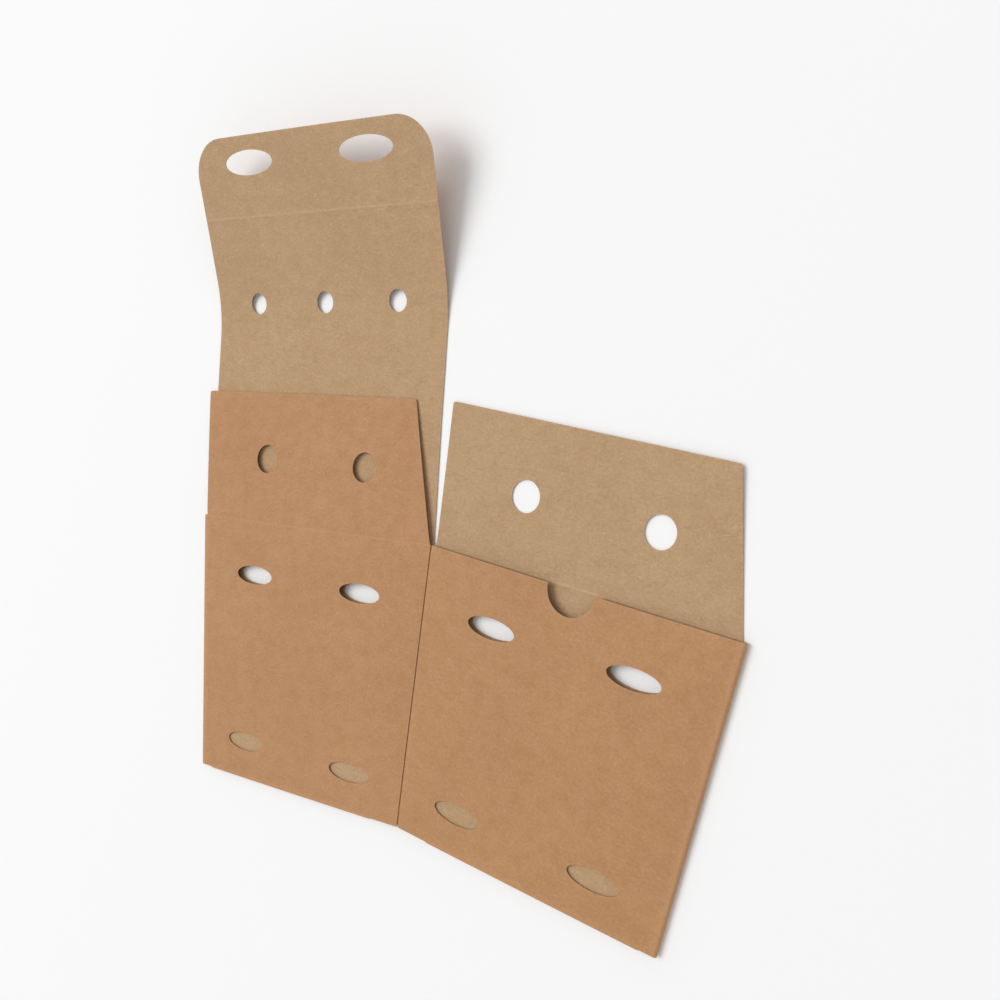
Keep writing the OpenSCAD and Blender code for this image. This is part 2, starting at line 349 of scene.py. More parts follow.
def other_hand(points):
    """The same points on the other side of the line x = 0."""
    return np.asarray(points, float) * np.array([-1.0, 1.0])


def arc(cx, cy, r, a0, a1, n):
    """Points on a circle from angle a0 to a1, in degrees."""
    a = np.radians(np.linspace(a0, a1, n))
    return np.stack([cx + r * np.cos(a), cy + r * np.sin(a)], axis=1)


def ovals(centres, a, b, n):
    """Ellipses of half axes a and b round each centre, n points each."""
    w = np.arange(n) * (2 * math.pi / n)
    ring = np.stack([a * np.cos(w), b * np.sin(w)], axis=1)
    return np.asarray(centres, float)[:, None, :] + ring


def dust_edge(p):
    """Edge of a dust flap from its front corner at the crease round to the back one."""
    top = p.wall_height + p.dust_depth
    x_in = p.dust_slit - p.half_t
    x_back = x_in - p.dust_depth * math.tan(p.fan)
    x_out = p.half_t - p.dust_slit
    lean = math.degrees(math.atan(p.dust_taper / p.dust_depth))
    step = p.dust_radius * math.tan(math.radians(45 - lean / 2))
    return np.concatenate([
        [[x_out, p.wall_height]],
        arc(x_out - p.dust_taper - step, top - p.dust_radius, p.dust_radius,
            lean, 90, DUST_CORNER_POINTS),
        arc(x_back + p.dust_radius, top - p.dust_radius, p.dust_radius,
            90, 180 + math.degrees(p.fan), DUST_CORNER_POINTS),
        [[x_in, p.wall_height]],
    ])


def lid_edge(p):
    """Edge of the lid and its tuck flap from the left end of the hinge to the right one."""
    x_in, x_out = p.half_t - p.dust_slit / 2, p.lid_width / 2
    full, end = p.wall_height + p.lid_flare, p.wall_height + p.lid_depth + p.tuck_depth
    r = p.tuck_radius
    right = np.concatenate([
        arc(x_out - r, end - r, r, 90, 0, TUCK_CORNER_POINTS),
        [[x_out, full], [x_in, p.wall_height]],
    ])
    return np.concatenate([other_hand(right)[::-1], right])


def diagonal(p, along, beyond):
    """Flap place of a point by its way along the diagonal crease and its distance beyond it.

    The crease starts at the inner end of the back flap and runs at 45 degrees;
    beyond counts towards the wall corner.
    """
    h = math.sqrt(0.5)
    along, beyond = np.broadcast_arrays(np.asarray(along, float), np.asarray(beyond, float))
    return np.stack([p.back_in + h * (along - beyond),
                     -(p.flap_strip + h * (along + beyond))], axis=-1)


def flap_end(p, x):
    """Points across the fold of a bottom flap at one of its ends, from the wall downwards."""
    q = np.linspace(0.0, p.flap_strip, FLAP_ROWS)
    return np.stack([np.full(FLAP_ROWS, x), -q], axis=1)


def back_flap_edge(p):
    """Edge of a back bottom flap with its corner tab, from the outer end to the inner one."""
    q = np.linspace(0.0, p.flap_strip, FLAP_ROWS)
    deep = p.flap_strip + p.flap_depth
    y0, y1, w = p.tab_end, p.diag_end - p.tab_end, p.tab_width
    return np.concatenate([
        flap_end(p, p.back_out),
        [[p.back_out - p.flap_taper, -deep], [p.back_in + p.flap_depth, -deep]],
        diagonal(p, y1, q),
        diagonal(p, [y1 - w / 2, y0 + w], p.flap_strip + w),
        diagonal(p, y0, q[::-1]),
        flap_end(p, p.back_in)[::-1],
    ])


def front_flap_edge(p):
    """Edge of a front bottom flap from its inner end to the outer one."""
    deep = p.flap_strip + p.flap_depth
    return np.concatenate([
        flap_end(p, p.front_in),
        [[p.front_in + p.flap_taper, -deep], [p.front_out, -deep]],
        flap_end(p, p.front_out)[::-1],
    ])


def across_fold(p, way):
    """Points across a side fold at a given way along it, from the front wall to the back one."""
    s = np.linspace(p.side_strip, 0.0, SIDE_ROWS)
    return p.foot + way * p.along + s[:, None] * p.out


def blank_outline(p):
    """Closed outline of the whole blank, panel after panel, starting at the seam edge."""
    gap = p.seam_gap / 2 / p.cos
    h, hb, ht = p.wall_height, p.half_b, p.half_t
    glue = np.stack(turned_back(
        p, np.array([0.0, p.glue_width, p.glue_width, 0.0]),
        np.array([p.slant - p.glue_end, p.slant - p.glue_end - p.glue_slope,
                  p.glue_end + p.glue_slope, p.glue_end])), axis=1)
    notched_wall = np.concatenate([
        arc(0.0, h, p.notch_radius, 180, 360, NOTCH_POINTS), [[ht, h]], glue, [[hb, 0.0]]])
    return np.concatenate([
        front_panel(p, [[hb - gap, 0.0], [ht - gap, h]]),
        front_panel(p, dust_edge(p)),
        across_fold(p, p.slant),
        back_panel(p, lid_edge(p)),
        back_panel(p, [[ht, h]]),
        other_hand(back_panel(p, other_hand(dust_edge(p))[::-1])),
        other_hand(across_fold(p, p.slant)[::-1]),
        other_hand(front_panel(p, notched_wall)),
        other_hand(front_panel(p, front_flap_edge(p)[::-1])),
        other_hand(across_fold(p, 0.0)),
        other_hand(back_panel(p, back_flap_edge(p)[::-1])),
        back_panel(p, [[hb, 0.0]]),
        back_panel(p, back_flap_edge(p)),
        across_fold(p, 0.0)[::-1],
        front_panel(p, front_flap_edge(p)),
    ])


def blank_holes(p):
    """Closed outlines of all air holes, each an ellipse in the frame of its own panel."""
    x = p.wall_hole_span / 2
    wall = ovals([[-x, p.lower_hole], [x, p.lower_hole], [-x, p.upper_hole], [x, p.upper_hole]],
                 p.wall_hole_length / 2, p.wall_hole_height / 2, OVAL_POINTS)
    x, y = p.dust_hole_span / 2, p.wall_height + p.dust_hole_row
    dust = ovals([[-x, y], [x, y]], p.dust_hole / 2, p.dust_hole / 2, ROUND_POINTS)
    x, y = p.vent_pitch, p.wall_height + p.vent_row
    vents = ovals([[-x, y], [0.0, y], [x, y]], p.vent / 2, p.vent / 2, ROUND_POINTS)
    x, y = p.tuck_hole_span / 2, p.wall_height + p.lid_depth + p.tuck_hole_row
    tuck = ovals([[-x, y], [x, y]], p.tuck_hole_length / 2, p.tuck_hole_height / 2,
                 TUCK_OVAL_POINTS)
    left = [front_panel(p, wall), front_panel(p, dust),
            back_panel(p, wall), back_panel(p, vents), back_panel(p, tuck)]
    right = [front_panel(p, wall), back_panel(p, wall), back_panel(p, dust)]
    return [loop for rings in left for loop in rings] + [
        other_hand(loop) for rings in right for loop in rings]


def fold_rows(p):
    """Rows of points along every fold and crease, as arrays of (row, point, xy).

    A round fold gets rows spread evenly over its arc, a crease gets rows that
    close in on its middle, so that both keep their section in the mesh.
    """
    def span(x0, x1, ys, n=ROW_POINTS):
        """Rows from x0 to x1 at the heights ys."""
        x = np.linspace(x0, x1, n)
        return np.stack(np.broadcast_arrays(x[None, :], ys[:, None]), axis=-1)

    q = np.linspace(0.0, p.flap_strip, FLAP_ROWS)
    s = np.linspace(0.0, p.side_strip, SIDE_ROWS)
    way = np.linspace(0.0, p.slant, ROW_POINTS)
    side = p.foot + way[None, :, None] * p.along + s[:, None, None] * p.out
    back_flap = back_panel(p, span(p.back_in, p.back_out, -q))
    front_flap = front_panel(p, span(p.front_in, p.front_out, -q))
    way = np.linspace(p.tab_end, p.diag_end - p.tab_end, TAB_POINTS)
    tab = back_panel(p, diagonal(p, way[None, :], q[:, None]))
    edge = p.half_t - p.dust_slit - HINGE_END
    hinge = span(-edge, edge, p.wall_height + CREASE_ROWS, CREASE_POINTS)
    edge = p.lid_width / 2 - HINGE_END
    tuck = span(-edge, edge, p.wall_height + p.lid_depth + CREASE_ROWS, CREASE_POINTS)
    corner = span(CORNER_END, p.slant - CORNER_END, CREASE_ROWS)[..., ::-1]
    across = np.linspace(-p.seam_gap / 2, (STEP_SHARE - 0.5) * p.seam_gap, FLAP_ROWS)
    step = span(p.glue_end + STEP_END, p.slant - p.glue_end - STEP_END, across)[..., ::-1]
    step = np.stack(turned_back(p, step[..., 0], step[..., 1]), axis=-1)
    return [side, other_hand(side), back_flap, other_hand(back_flap),
            front_flap, other_hand(front_flap), tab, other_hand(tab),
            front_panel(p, hinge), back_panel(p, hinge), other_hand(back_panel(p, hinge)),
            back_panel(p, tuck), corner, other_hand(front_panel(p, step))]


# Cutting the blank into triangles

def spaced(loop, step):
    """A closed outline with points added so that none are further apart than step."""
    loop = loop[np.linalg.norm(loop - np.roll(loop, 1, axis=0), axis=1) > MERGE]
    side = np.roll(loop, -1, axis=0) - loop
    count = np.maximum(np.ceil(np.linalg.norm(side, axis=1) / step).astype(int), 1)
    first = np.repeat(np.cumsum(count) - count, count)
    share = (np.arange(count.sum()) - first) / np.repeat(count, count)
    return np.repeat(loop, count, axis=0) + share[:, None] * np.repeat(side, count, axis=0)


def beside(loop, gap):
    """Points at a distance from those of a closed outline, square to it on both sides."""
    way = np.roll(loop, -1, axis=0) - np.roll(loop, 1, axis=0)
    way = way / np.linalg.norm(way, axis=1, keepdims=True)
    off = gap * np.stack([-way[:, 1], way[:, 0]], axis=1)
    return np.concatenate([loop + off, loop - off])


def inside(points, loops):
    """True where a point lies on the board: an odd number of outline crossings to its right."""
    a = np.concatenate(loops)
    b = np.concatenate([np.roll(loop, -1, axis=0) for loop in loops])
    slope = (b[:, 0] - a[:, 0]) / np.where(b[:, 1] == a[:, 1], 1.0, b[:, 1] - a[:, 1])
    parts = []
    for some in np.array_split(points, max(len(points) // INSIDE_BATCH, 1)):
        x, y = some[:, :1], some[:, 1:]
        spans = (a[:, 1] > y) != (b[:, 1] > y)
        parts.append((spans & (x < a[:, 0] + (y - a[:, 1]) * slope)).sum(axis=1) % 2 == 1)
    return np.concatenate(parts)


def clear_of(points, others, gap):
    """True where a point keeps the gap to all the others."""
    parts = []
    others = others.astype(np.float32)
    points = points.astype(np.float32)
    for some in np.array_split(points, max(len(points) // CLEAR_BATCH, 1)):
        d = (some[:, None, 0] - others[:, 0]) ** 2 + (some[:, None, 1] - others[:, 1]) ** 2
        parts.append(d.min(axis=1) > gap * gap)
    return np.concatenate(parts)


def cut_blank(p):
    """Flat triangles of the blank: xy of the points and their triangles, counter-clockwise.

    Outlines, holes and fold rows are kept as edges. Points beside the cuts
    bound their pressed rim outside the folds, and a lattice of equal triangles
    fills the panels. Slivers without height along straight cuts are dropped.
    """
    loops = [spaced(loop, p.cell) for loop in [blank_outline(p)] + blank_holes(p)]
    rows = fold_rows(p)
    fixed = np.concatenate(loops + [row.reshape(-1, 2) for row in rows])
    edges, base = [], 0
    for loop in loops:
        k = np.arange(len(loop))
        edges.append(np.stack([k, np.roll(k, -1)], axis=1) + base)
        base += len(loop)
    for row in rows:
        k = np.arange(row.shape[0] * row.shape[1]).reshape(row.shape[:2]) + base
        edges.append(np.stack([k[:, :-1], k[:, 1:]], axis=-1).reshape(-1, 2))
        base += k.size
    rims = np.concatenate([beside(loop, p.rim) for loop in loops])
    rims = rims[inside(rims, loops)]
    rims = rims[clear_of(rims, fixed, RIM_ROOM * p.rim) & (fold_blank(p, rims)[1] < IN_FOLD)]
    fixed = np.concatenate([fixed, rims])
    low, high = fixed.min(axis=0), fixed.max(axis=0)
    rise = p.cell * math.sqrt(0.75)
    columns, rows_up = ((high - low) / (p.cell, rise)).astype(int) + 1
    j, i = np.mgrid[0:rows_up, 0:columns]
    lattice = np.stack([low[0] + p.cell * (i + 0.5 * (j % 2)), low[1] + rise * j],
                       axis=-1).reshape(-1, 2)
    lattice = lattice[inside(lattice, loops)]
    lattice = lattice[clear_of(lattice, fixed, CELL_ROOM * p.cell)]
    points = np.concatenate([fixed, lattice])
    cut = delaunay_2d_cdt(points.tolist(), np.concatenate(edges).tolist(), [], 0, MERGE, False)
    xy, tri = np.array(cut[0]), np.array(cut[2])
    a, b, c = xy[tri[:, 0]], xy[tri[:, 1]], xy[tri[:, 2]]
    area = (b[:, 0] - a[:, 0]) * (c[:, 1] - a[:, 1]) - (b[:, 1] - a[:, 1]) * (c[:, 0] - a[:, 0])
    tri = np.where((area < 0)[:, None], tri[:, ::-1], tri)
    longest = np.linalg.norm(np.stack([b - a, c - b, a - c]), axis=2).max(axis=0)
    tri = tri[inside((a + b + c) / 3, loops) & (np.abs(area) > LEAST_HEIGHT * longest)]
    used, tri = np.unique(tri, return_inverse=True)
    return xy[used], tri.reshape(-1, 3)


# Folding

def bell(distance, width):
    """A smooth hump, 1 at distance 0 and almost nothing beyond two widths."""
    return np.exp(-(distance / width) ** 2)


def over_strip(way, strip, width):
    """1 on the strip that a fold takes up, fading out over a width on both sides of it."""
    return bell(np.maximum(np.abs(way - strip / 2) - strip / 2, 0.0), width)


def half_turn(way, radius):
    """Run and rise of board that turns back over a fold, by its way s past the fold line.

    Over the arc the run is r sin(s / r) and the rise r (1 - cos(s / r)). Before
    it the run is s, and beyond it the board runs back by what is left.
    """
    strip = math.pi * radius
    turn = np.clip(way / radius, 0.0, math.pi)
    run = np.where(way > strip, strip - way, radius * np.sin(turn))
    return np.where(way < 0, way, run), radius * (1 - np.cos(turn))


def fold_sides(p, xy):
    """Places in the left wall frame after the side folds, and which panel each is on.

    The right half is folded as the mirror image of the left one.
    """
    f = SimpleNamespace(right=xy[:, 0] > 0, from_corner=xy[:, 0])
    rel = np.where(f.right[:, None], other_hand(xy), xy) - p.foot
    way, s = rel @ p.along, rel @ p.out
    run, rise = half_turn(s, p.side_bend)
    folded = p.foot + way[:, None] * p.along + run[:, None] * p.out
    f.front = s > p.side_strip / 2
    f.from_seam = folded[:, 0]
    f.x, f.y = turned_back(p, folded[:, 0], folded[:, 1])
    f.z = p.back_z + rise
    f.up = f.y - p.wall_height
    f.at_side = over_strip(s, p.side_strip, SIDE_WEAR)
    f.at_foot = over_strip(-f.y, p.flap_strip, FLAP_WEAR)
    return f


def fold_bottom(p, f):
    """Turn the bottom flaps in, their corner tabs back, and step the glue flap down.

    The tab of a back flap turns over its diagonal. The glue flap goes down by
    one ply within the gap of the seam, along 3 t squared - 2 t cubed.
    """
    q = -f.y
    run, depth = half_turn(q, p.flap_bend)
    x, y = f.x, -run
    h = math.sqrt(0.5)
    way, beyond = h * (x - p.back_in + y), h * (y - x + p.back_in)
    on_flap = ~f.front & (q > p.flap_strip)
    f.at_tab = np.where(on_flap, over_strip(beyond, p.flap_strip, FLAP_WEAR), 0.0)
    tab = on_flap & (beyond > 0)
    run, rise = half_turn(beyond, p.flap_bend)
    f.x = np.where(tab, p.back_in + h * (way - run), x)
    f.y = np.where(tab, h * (way + run), y)
    depth = depth + np.where(tab, rise, 0.0)
    over = np.clip((f.from_seam / p.seam_gap + 0.5) / STEP_SHARE, 0.0, 1.0)
    over = np.where(f.front & f.right, over, 0.0)
    depth = depth + p.ply_pitch * over * over * (3 - 2 * over)
    f.z = f.z + np.where(f.front, -depth, depth)


def bend_lid(p, f):
    """Bend the lid: flat next to its hinge, then an arc of a cylinder, then its tangent."""
    f.lid = ~f.front & ~f.right & (f.up > 0)
    f.run = np.where(f.lid, f.up - p.lid_flat, 0.0)
    turn = np.clip(f.run / p.bend_radius, 0.0, p.bend_angle)
    tail = np.maximum(f.run - p.bend_radius * p.bend_angle, 0.0)
    bent = p.bend_radius * np.sin(turn) + tail * math.cos(p.bend_angle)
    f.y = np.where(f.run > 0, p.wall_height + p.lid_flat + bent, f.y)
    f.rise = p.bend_radius * (1 - np.cos(turn)) + tail * math.sin(p.bend_angle)


def spring(p, f):
    """Lift of board that gives. Walls lift with the height of the ply, so that none cross.

    A wall swells towards its middle and its mouth and over the flaps under it.
    The front dust flap sinks to the lid, the back one rises, and the free end
    of the lid is twisted and bowed.
    """
    level = (f.z - p.back_z) / (p.front_z - p.back_z)
    height = np.clip(f.y / p.wall_height, 0.0, 1.0)
    across = np.clip(f.x / (p.half_b + (p.half_t - p.half_b) * height), -1.0, 1.0)
    swell = p.mouth_spring * (1 - across ** 2) * (FOOT_SHARE + (1 - FOOT_SHARE) * height ** 2)
    swell = swell + p.belly * level ** 3 * (1 - across ** 4) * np.sin(math.pi * height) ** 0.5
    share = np.clip(f.up / p.dust_depth, 0.0, 1.0)
    lift = level * swell * (1 - share) - np.where(f.front, p.flap_sink * share ** 1.5, 0.0)
    rise = p.flap_lift * share ** 2 * (1 - LEAN_SHARE - LEAN_SHARE * across)
    lift = lift + np.where(~f.front & f.right, rise, 0.0)
    free = np.clip(f.run / (p.lid_depth + p.tuck_depth - p.lid_flat), 0.0, 1.0)
    return lift + p.lid_twist * free ** 2 * (BOW_SHARE * (1 - across ** 2) - across)


def press_lines(p, f):
    """Lift of the pressed lines, and the wear of all folds.

    The line is a groove where the front dust flap bends, and a bead on the
    inner face elsewhere. It ends before the side folds.
    """
    hinge = bell(f.up, p.crease_width) * (1 - f.at_side)
    hinge = np.where(f.front & f.right, 0.0, hinge)
    tuck = np.where(f.lid, bell(f.up - p.lid_depth, p.crease_width), 0.0)
    corner = np.where(f.front, 0.0, bell(f.from_corner, p.crease_width))
    wear = np.maximum.reduce([f.at_side, f.at_foot, f.at_tab, CREASE_SHARE * hinge,
                              CREASE_SHARE * tuck, CORNER_SHARE * corner])
    return p.crease_depth * (np.where(f.front, -hinge, hinge) + tuck + corner), wear


def fold_blank(p, xy):
    """Folded place of the middle of the board for points of the blank, and the wear there.

    The order is side folds, bottom folds with the corner tabs, then the lid.
    Spring and pressed lines are added last.
    """
    f = fold_sides(p, xy)
    fold_bottom(p, f)
    bend_lid(p, f)
    pressed, wear = press_lines(p, f)
    x, y = turned(p, f.x, f.y)
    z = f.z + f.rise + (spring(p, f) + pressed)
    return (np.stack([np.where(f.right, -x, x), y, z], axis=1) + p.seam_foot) * MM, wear


def corner_normals(spot, tri):
    """Unit normals at the points: the sum of the area vectors of the triangles round each."""
    a, b, c = (spot[tri[:, k]] for k in range(3))
    area = np.cross(b - a, c - a)
    total = np.stack([np.bincount(tri.ravel(), np.repeat(area[:, k], 3), len(spot))
                      for k in range(3)], axis=1)
    return total / np.linalg.norm(total, axis=1, keepdims=True)


def board_mesh(p):
    """Mesh of the folded board: both faces half a board from the middle, and the cut edge.

    The inner face lies along the normals of the blank, the outer face against
    them. The edges of single triangles are the cuts, and a band of two
    triangles to each closes the sheet there.
    """
    xy, tri = cut_blank(p)
    spot, wear = fold_blank(p, xy)
    normal = corner_normals(spot, tri)
    n = len(spot)
    sides = np.concatenate([tri[:, [0, 1]], tri[:, [1, 2]], tri[:, [2, 0]]])
    key = np.sort(sides, axis=1) @ np.array([n, 1])
    _, first, count = np.unique(key, return_index=True, return_counts=True)
    rim = sides[first[count == 1]]
    band = np.concatenate([np.stack([rim[:, 1], rim[:, 0], rim[:, 0] + n], axis=1),
                           np.stack([rim[:, 1], rim[:, 0] + n, rim[:, 1] + n], axis=1)])
    faces = np.concatenate([tri, tri[:, ::-1] + n, band])
    finish = np.repeat([INSIDE, OUTSIDE, CUT_EDGE], [len(tri), len(tri), len(band)])
    cut = np.zeros(n)
    cut[rim.ravel()] = 1.0
    half = ((p.board - p.rim_press * cut) / 2 * MM)[:, None]
    points = np.concatenate([spot + half * normal, spot - half * normal])

    mesh = bpy.data.meshes.new(PIECE)
    mesh.vertices.add(len(points))
    mesh.vertices.foreach_set("co", points.astype(np.float32).ravel())
    mesh.loops.add(faces.size)
    mesh.loops.foreach_set("vertex_index", faces.astype(np.int32).ravel())
    mesh.polygons.add(len(faces))
    mesh.polygons.foreach_set("loop_start", np.arange(0, faces.size, 3, dtype=np.int32))
    mesh.polygons.foreach_set("material_index", finish.astype(np.int32))
    mesh.polygons.foreach_set("use_smooth", np.ones(len(faces), dtype=bool))
    mesh.update(calc_edges=True)

    # the cuts stay sharp
    ends = np.empty(len(mesh.edges) * 2, dtype=np.int32)
    mesh.edges.foreach_get("vertices", ends)
    ends = np.sort(ends.reshape(-1, 2), axis=1).astype(np.int64) @ np.array([2 * n, 1])
    cuts = np.sort(np.concatenate([rim, rim + n]), axis=1).astype(np.int64) @ np.array([2 * n, 1])
    sharp = mesh.attributes.new("sharp_edge", "BOOLEAN", "EDGE")
    sharp.data.foreach_set("value", np.isin(ends, cuts))

    flat = np.concatenate([xy, xy])[faces.ravel()] * MM
    mesh.uv_layers.new(name=BLANK_UV).data.foreach_set("uv", flat.astype(np.float32).ravel())
    for name, value in (("fold_wear", wear), ("cut_wear", cut)):
        layer = mesh.attributes.new(name, "FLOAT", "POINT")
        layer.data.foreach_set("value", np.concatenate([value, value]).astype(np.float32))
    if mesh.validate():
        raise RuntimeError("the folded board has faulty faces")
    return mesh


# Finishes

class Nodes:
    """Short words for building a node tree."""

    def __init__(self, tree):
        tree.nodes.clear()
        self.tree = tree

    def add(self, kind, **settings):
        """A node with its settings given by name."""
        node = self.tree.nodes.new(kind)
        for key, value in settings.items():
            setattr(node, key, value)
        return node

    def link(self, start, end):
        """A wire from an output to an input."""
        self.tree.links.new(start, end)

    def placed(self, uv, scale, turn=0.0, shift=(0.0, 0.0, 0.0)):
        """Blank coordinates stretched, turned and shifted for one pattern."""
        node = self.add("ShaderNodeMapping")
        node.inputs["Location"].default_value = shift
        node.inputs["Rotation"].default_value = (0.0, 0.0, turn)
        node.inputs["Scale"].default_value = scale
        self.link(uv, node.inputs["Vector"])
        return node.outputs["Vector"]

    def noise(self, at, scale, detail, rough=0.5, output="Fac"):
        """Fractal noise from 0 to 1 at the given coordinates."""
        node = self.add("ShaderNodeTexNoise", noise_dimensions="3D")
        node.inputs["Scale"].default_value = scale
        node.inputs["Detail"].default_value = detail
        node.inputs["Roughness"].default_value = rough
        self.link(at, node.inputs["Vector"])
        return node.outputs[output]

    def waved(self, at, scale, reach):
        """Coordinates pushed about by a slow noise, so that lines drawn on them curl."""
        node = self.add("ShaderNodeVectorMath", operation="MULTIPLY_ADD")
        self.link(self.noise(at, scale, WAVE_DETAIL, output="Color"), node.inputs[0])
        node.inputs[1].default_value = (reach, reach, 0.0)
        self.link(at, node.inputs[2])
        return node.outputs["Vector"]

    def fibres(self, at, turns, shift):
        """Short fibres that lie in several directions: the highest of stretched noises."""
        net = None
        for turn in turns:
            line = self.noise(self.placed(at, FIBRE_SCALE, turn, (shift, turn, shift)),
                              1.0, FIBRE_DETAIL)
            net = line if net is None else self.combine("MAXIMUM", net, line)
        return net

    def attribute(self, name):
        """A value that the mesh carries at its points."""
        return self.add("ShaderNodeAttribute", attribute_name=name).outputs["Fac"]

    def span(self, value, low, high, to_low, to_high):
        """A value carried from one range to another and kept within it."""
        node = self.add("ShaderNodeMapRange", clamp=True)
        for key, number in zip(("From Min", "From Max", "To Min", "To Max"),
                               (low, high, to_low, to_high)):
            node.inputs[key].default_value = number
        self.link(value, node.inputs["Value"])
        return node.outputs["Result"]

    def combine(self, operation, a, b):
        """Two values joined by one operation; the second may be a number."""
        node = self.add("ShaderNodeMath", operation=operation)
        self.link(a, node.inputs[0])
        if isinstance(b, float):
            node.inputs[1].default_value = b
        else:
            self.link(b, node.inputs[1])
        return node.outputs[0]

    def in_view(self):
        """1 for what is seen straight, in a gloss or through glass, 0 for light on its way."""
        ray = self.add("ShaderNodeLightPath")
        view = self.combine("MAXIMUM", ray.outputs["Is Camera Ray"], ray.outputs["Is Glossy Ray"])
        return self.combine("MAXIMUM", view, ray.outputs["Is Transmission Ray"])

    def tint(self, colour, factor, other):
        """A colour moved towards another one by a factor."""
        node = self.add("ShaderNodeMix", data_type="RGBA", blend_type="MIX")
        self.link(factor, node.inputs[MIX_FACTOR])
        if isinstance(colour, tuple):
            node.inputs[MIX_FIRST].default_value = colour
        else:
            self.link(colour, node.inputs[MIX_FIRST])
        node.inputs[MIX_SECOND].default_value = other
        return node.outputs[MIX_RESULT]

    def mixed(self, factor, first, second):
        """Two shaders mixed by a factor."""
        node = self.add("ShaderNodeMixShader")
        self.link(factor, node.inputs["Fac"])
        self.link(first, node.inputs[1])
        self.link(second, node.inputs[2])
        return node.outputs["Shader"]

    def show(self, shader, kind="ShaderNodeOutputMaterial"):
        """Make a shader the surface."""
        self.link(shader, self.add(kind).inputs["Surface"])


def shade(colour, factor):
    """A colour with alpha, paler and greyer or darker and redder by a factor, as fibres are.

    Each channel is multiplied by the factor to its own power, red the lowest.
    """
    return tuple(min(channel * factor ** power, 1.0)
                 for channel, power in zip(colour, FIBRE_POWERS)) + (1.0,)


def new_material(name):
    """A material with an empty node tree, and the words to fill it."""
    material = bpy.data.materials.new(name)
    material.use_nodes = True
    return material, Nodes(material.node_tree)


def layered(n, tone, pattern, layers):
    """A tone with paler and darker shades of it laid over each other by their patterns."""
    colour = shade(tone, 1.0)
    for key, low, high, strength, factor in layers:
        colour = n.tint(colour, n.span(pattern[key], low, high, 0.0, strength),
                        shade(tone, factor))
    return colour


def kraft_face(name, tone, rough, shift):
    """Finish of one face of the kraft board.

    The tone is clouded over a few centimetres, mottled over a few millimetres
    and grained below one. Two nets of stretched noise, turned against each
    other, lay dark and pale fibres over it. Folds and cuts are rubbed paler.
    The same grain and fibres stand out of the face as a shallow relief.
    """
    material, n = new_material(name)
    uv = n.add("ShaderNodeUVMap", uv_map=BLANK_UV).outputs["UV"]
    at = n.placed(uv, (1.0, 1.0, 1.0), 0.0, shift)
    pattern = {key: n.noise(at, *values) for key, values in KRAFT_NOISES.items()}
    waved = n.waved(at, WAVE_SCALE, WAVE_REACH)
    for key, (turns, apart) in FIBRE_NETS.items():
        pattern[key] = n.fibres(waved, turns, apart)

    colour = layered(n, tone, pattern, KRAFT_LAYERS)
    for wear, key, low, high, least, most in RUBBED_LAYERS:
        rubbed = n.combine("MULTIPLY", n.attribute(wear),
                           n.span(pattern[key], low, high, least, most))
        colour = n.tint(colour, rubbed, shade(tone, RUBBED_SHADE))

    relief = n.combine("ADD", n.combine("MULTIPLY", pattern["grain"], GRAIN_RELIEF),
                       n.combine("SUBTRACT", pattern["pale"], pattern["dark"]))
    bump = n.add("ShaderNodeBump")
    bump.inputs["Strength"].default_value = RELIEF_STRENGTH
    bump.inputs["Distance"].default_value = RELIEF_DEPTH
    n.link(relief, bump.inputs["Height"])
    shader = n.add("ShaderNodeBsdfPrincipled")
    shader.inputs["Specular IOR Level"].default_value = 0.3
    n.link(colour, shader.inputs["Base Color"])
    n.link(n.span(pattern["mottle"], 0.3, 0.7, rough, rough + ROUGH_SPREAD),
           shader.inputs["Roughness"])
    n.link(bump.outputs["Normal"], shader.inputs["Normal"])
    n.show(shader.outputs["BSDF"])
    return material


def cut_core(name, tone):
    """Finish of the cut edge: the bare core of the board, uneven along the cut."""
    material, n = new_material(name)
    at = n.add("ShaderNodeTexCoord").outputs["Object"]
    pattern = {key: n.noise(at, *values) for key, values in CORE_NOISES.items()}
    colour = layered(n, tone, pattern, CORE_LAYERS)
    shader = n.add("ShaderNodeBsdfPrincipled")
    shader.inputs["Roughness"].default_value = 0.9
    shader.inputs["Specular IOR Level"].default_value = 0.2
    n.link(colour, shader.inputs["Base Color"])
    n.show(shader.outputs["BSDF"])
    return material


def pale_floor(name, tone, backdrop, near, far):
    """Matt finish of the floor, which runs into the backdrop without a line.

    Up to the distance near from the middle the floor shows as it is lit. From
    there to the distance far the view passes to the backdrop's own colour.
    """
    material, n = new_material(name)
    reach = n.add("ShaderNodeVectorMath", operation="LENGTH")
    n.link(n.add("ShaderNodeTexCoord").outputs["Object"], reach.inputs[0])
    fade = n.combine("MULTIPLY", n.in_view(), n.span(reach.outputs["Value"], near, far, 0.0, 1.0))
    lit = n.add("ShaderNodeBsdfPrincipled")
    lit.inputs["Base Color"].default_value = shade(tone, 1.0)
    lit.inputs["Roughness"].default_value = 0.9
    lit.inputs["Specular IOR Level"].default_value = 0.1
    beyond = n.add("ShaderNodeEmission")
    beyond.inputs["Color"].default_value = shade(backdrop, 1.0)
    n.show(n.mixed(fade, lit.outputs["BSDF"], beyond.outputs["Emission"]))
    return material


# Stage

def put(name, data):
    """A new object at the origin, linked into the scene."""
    obj = bpy.data.objects.new(name, data)
    bpy.context.scene.collection.objects.link(obj)
    return obj


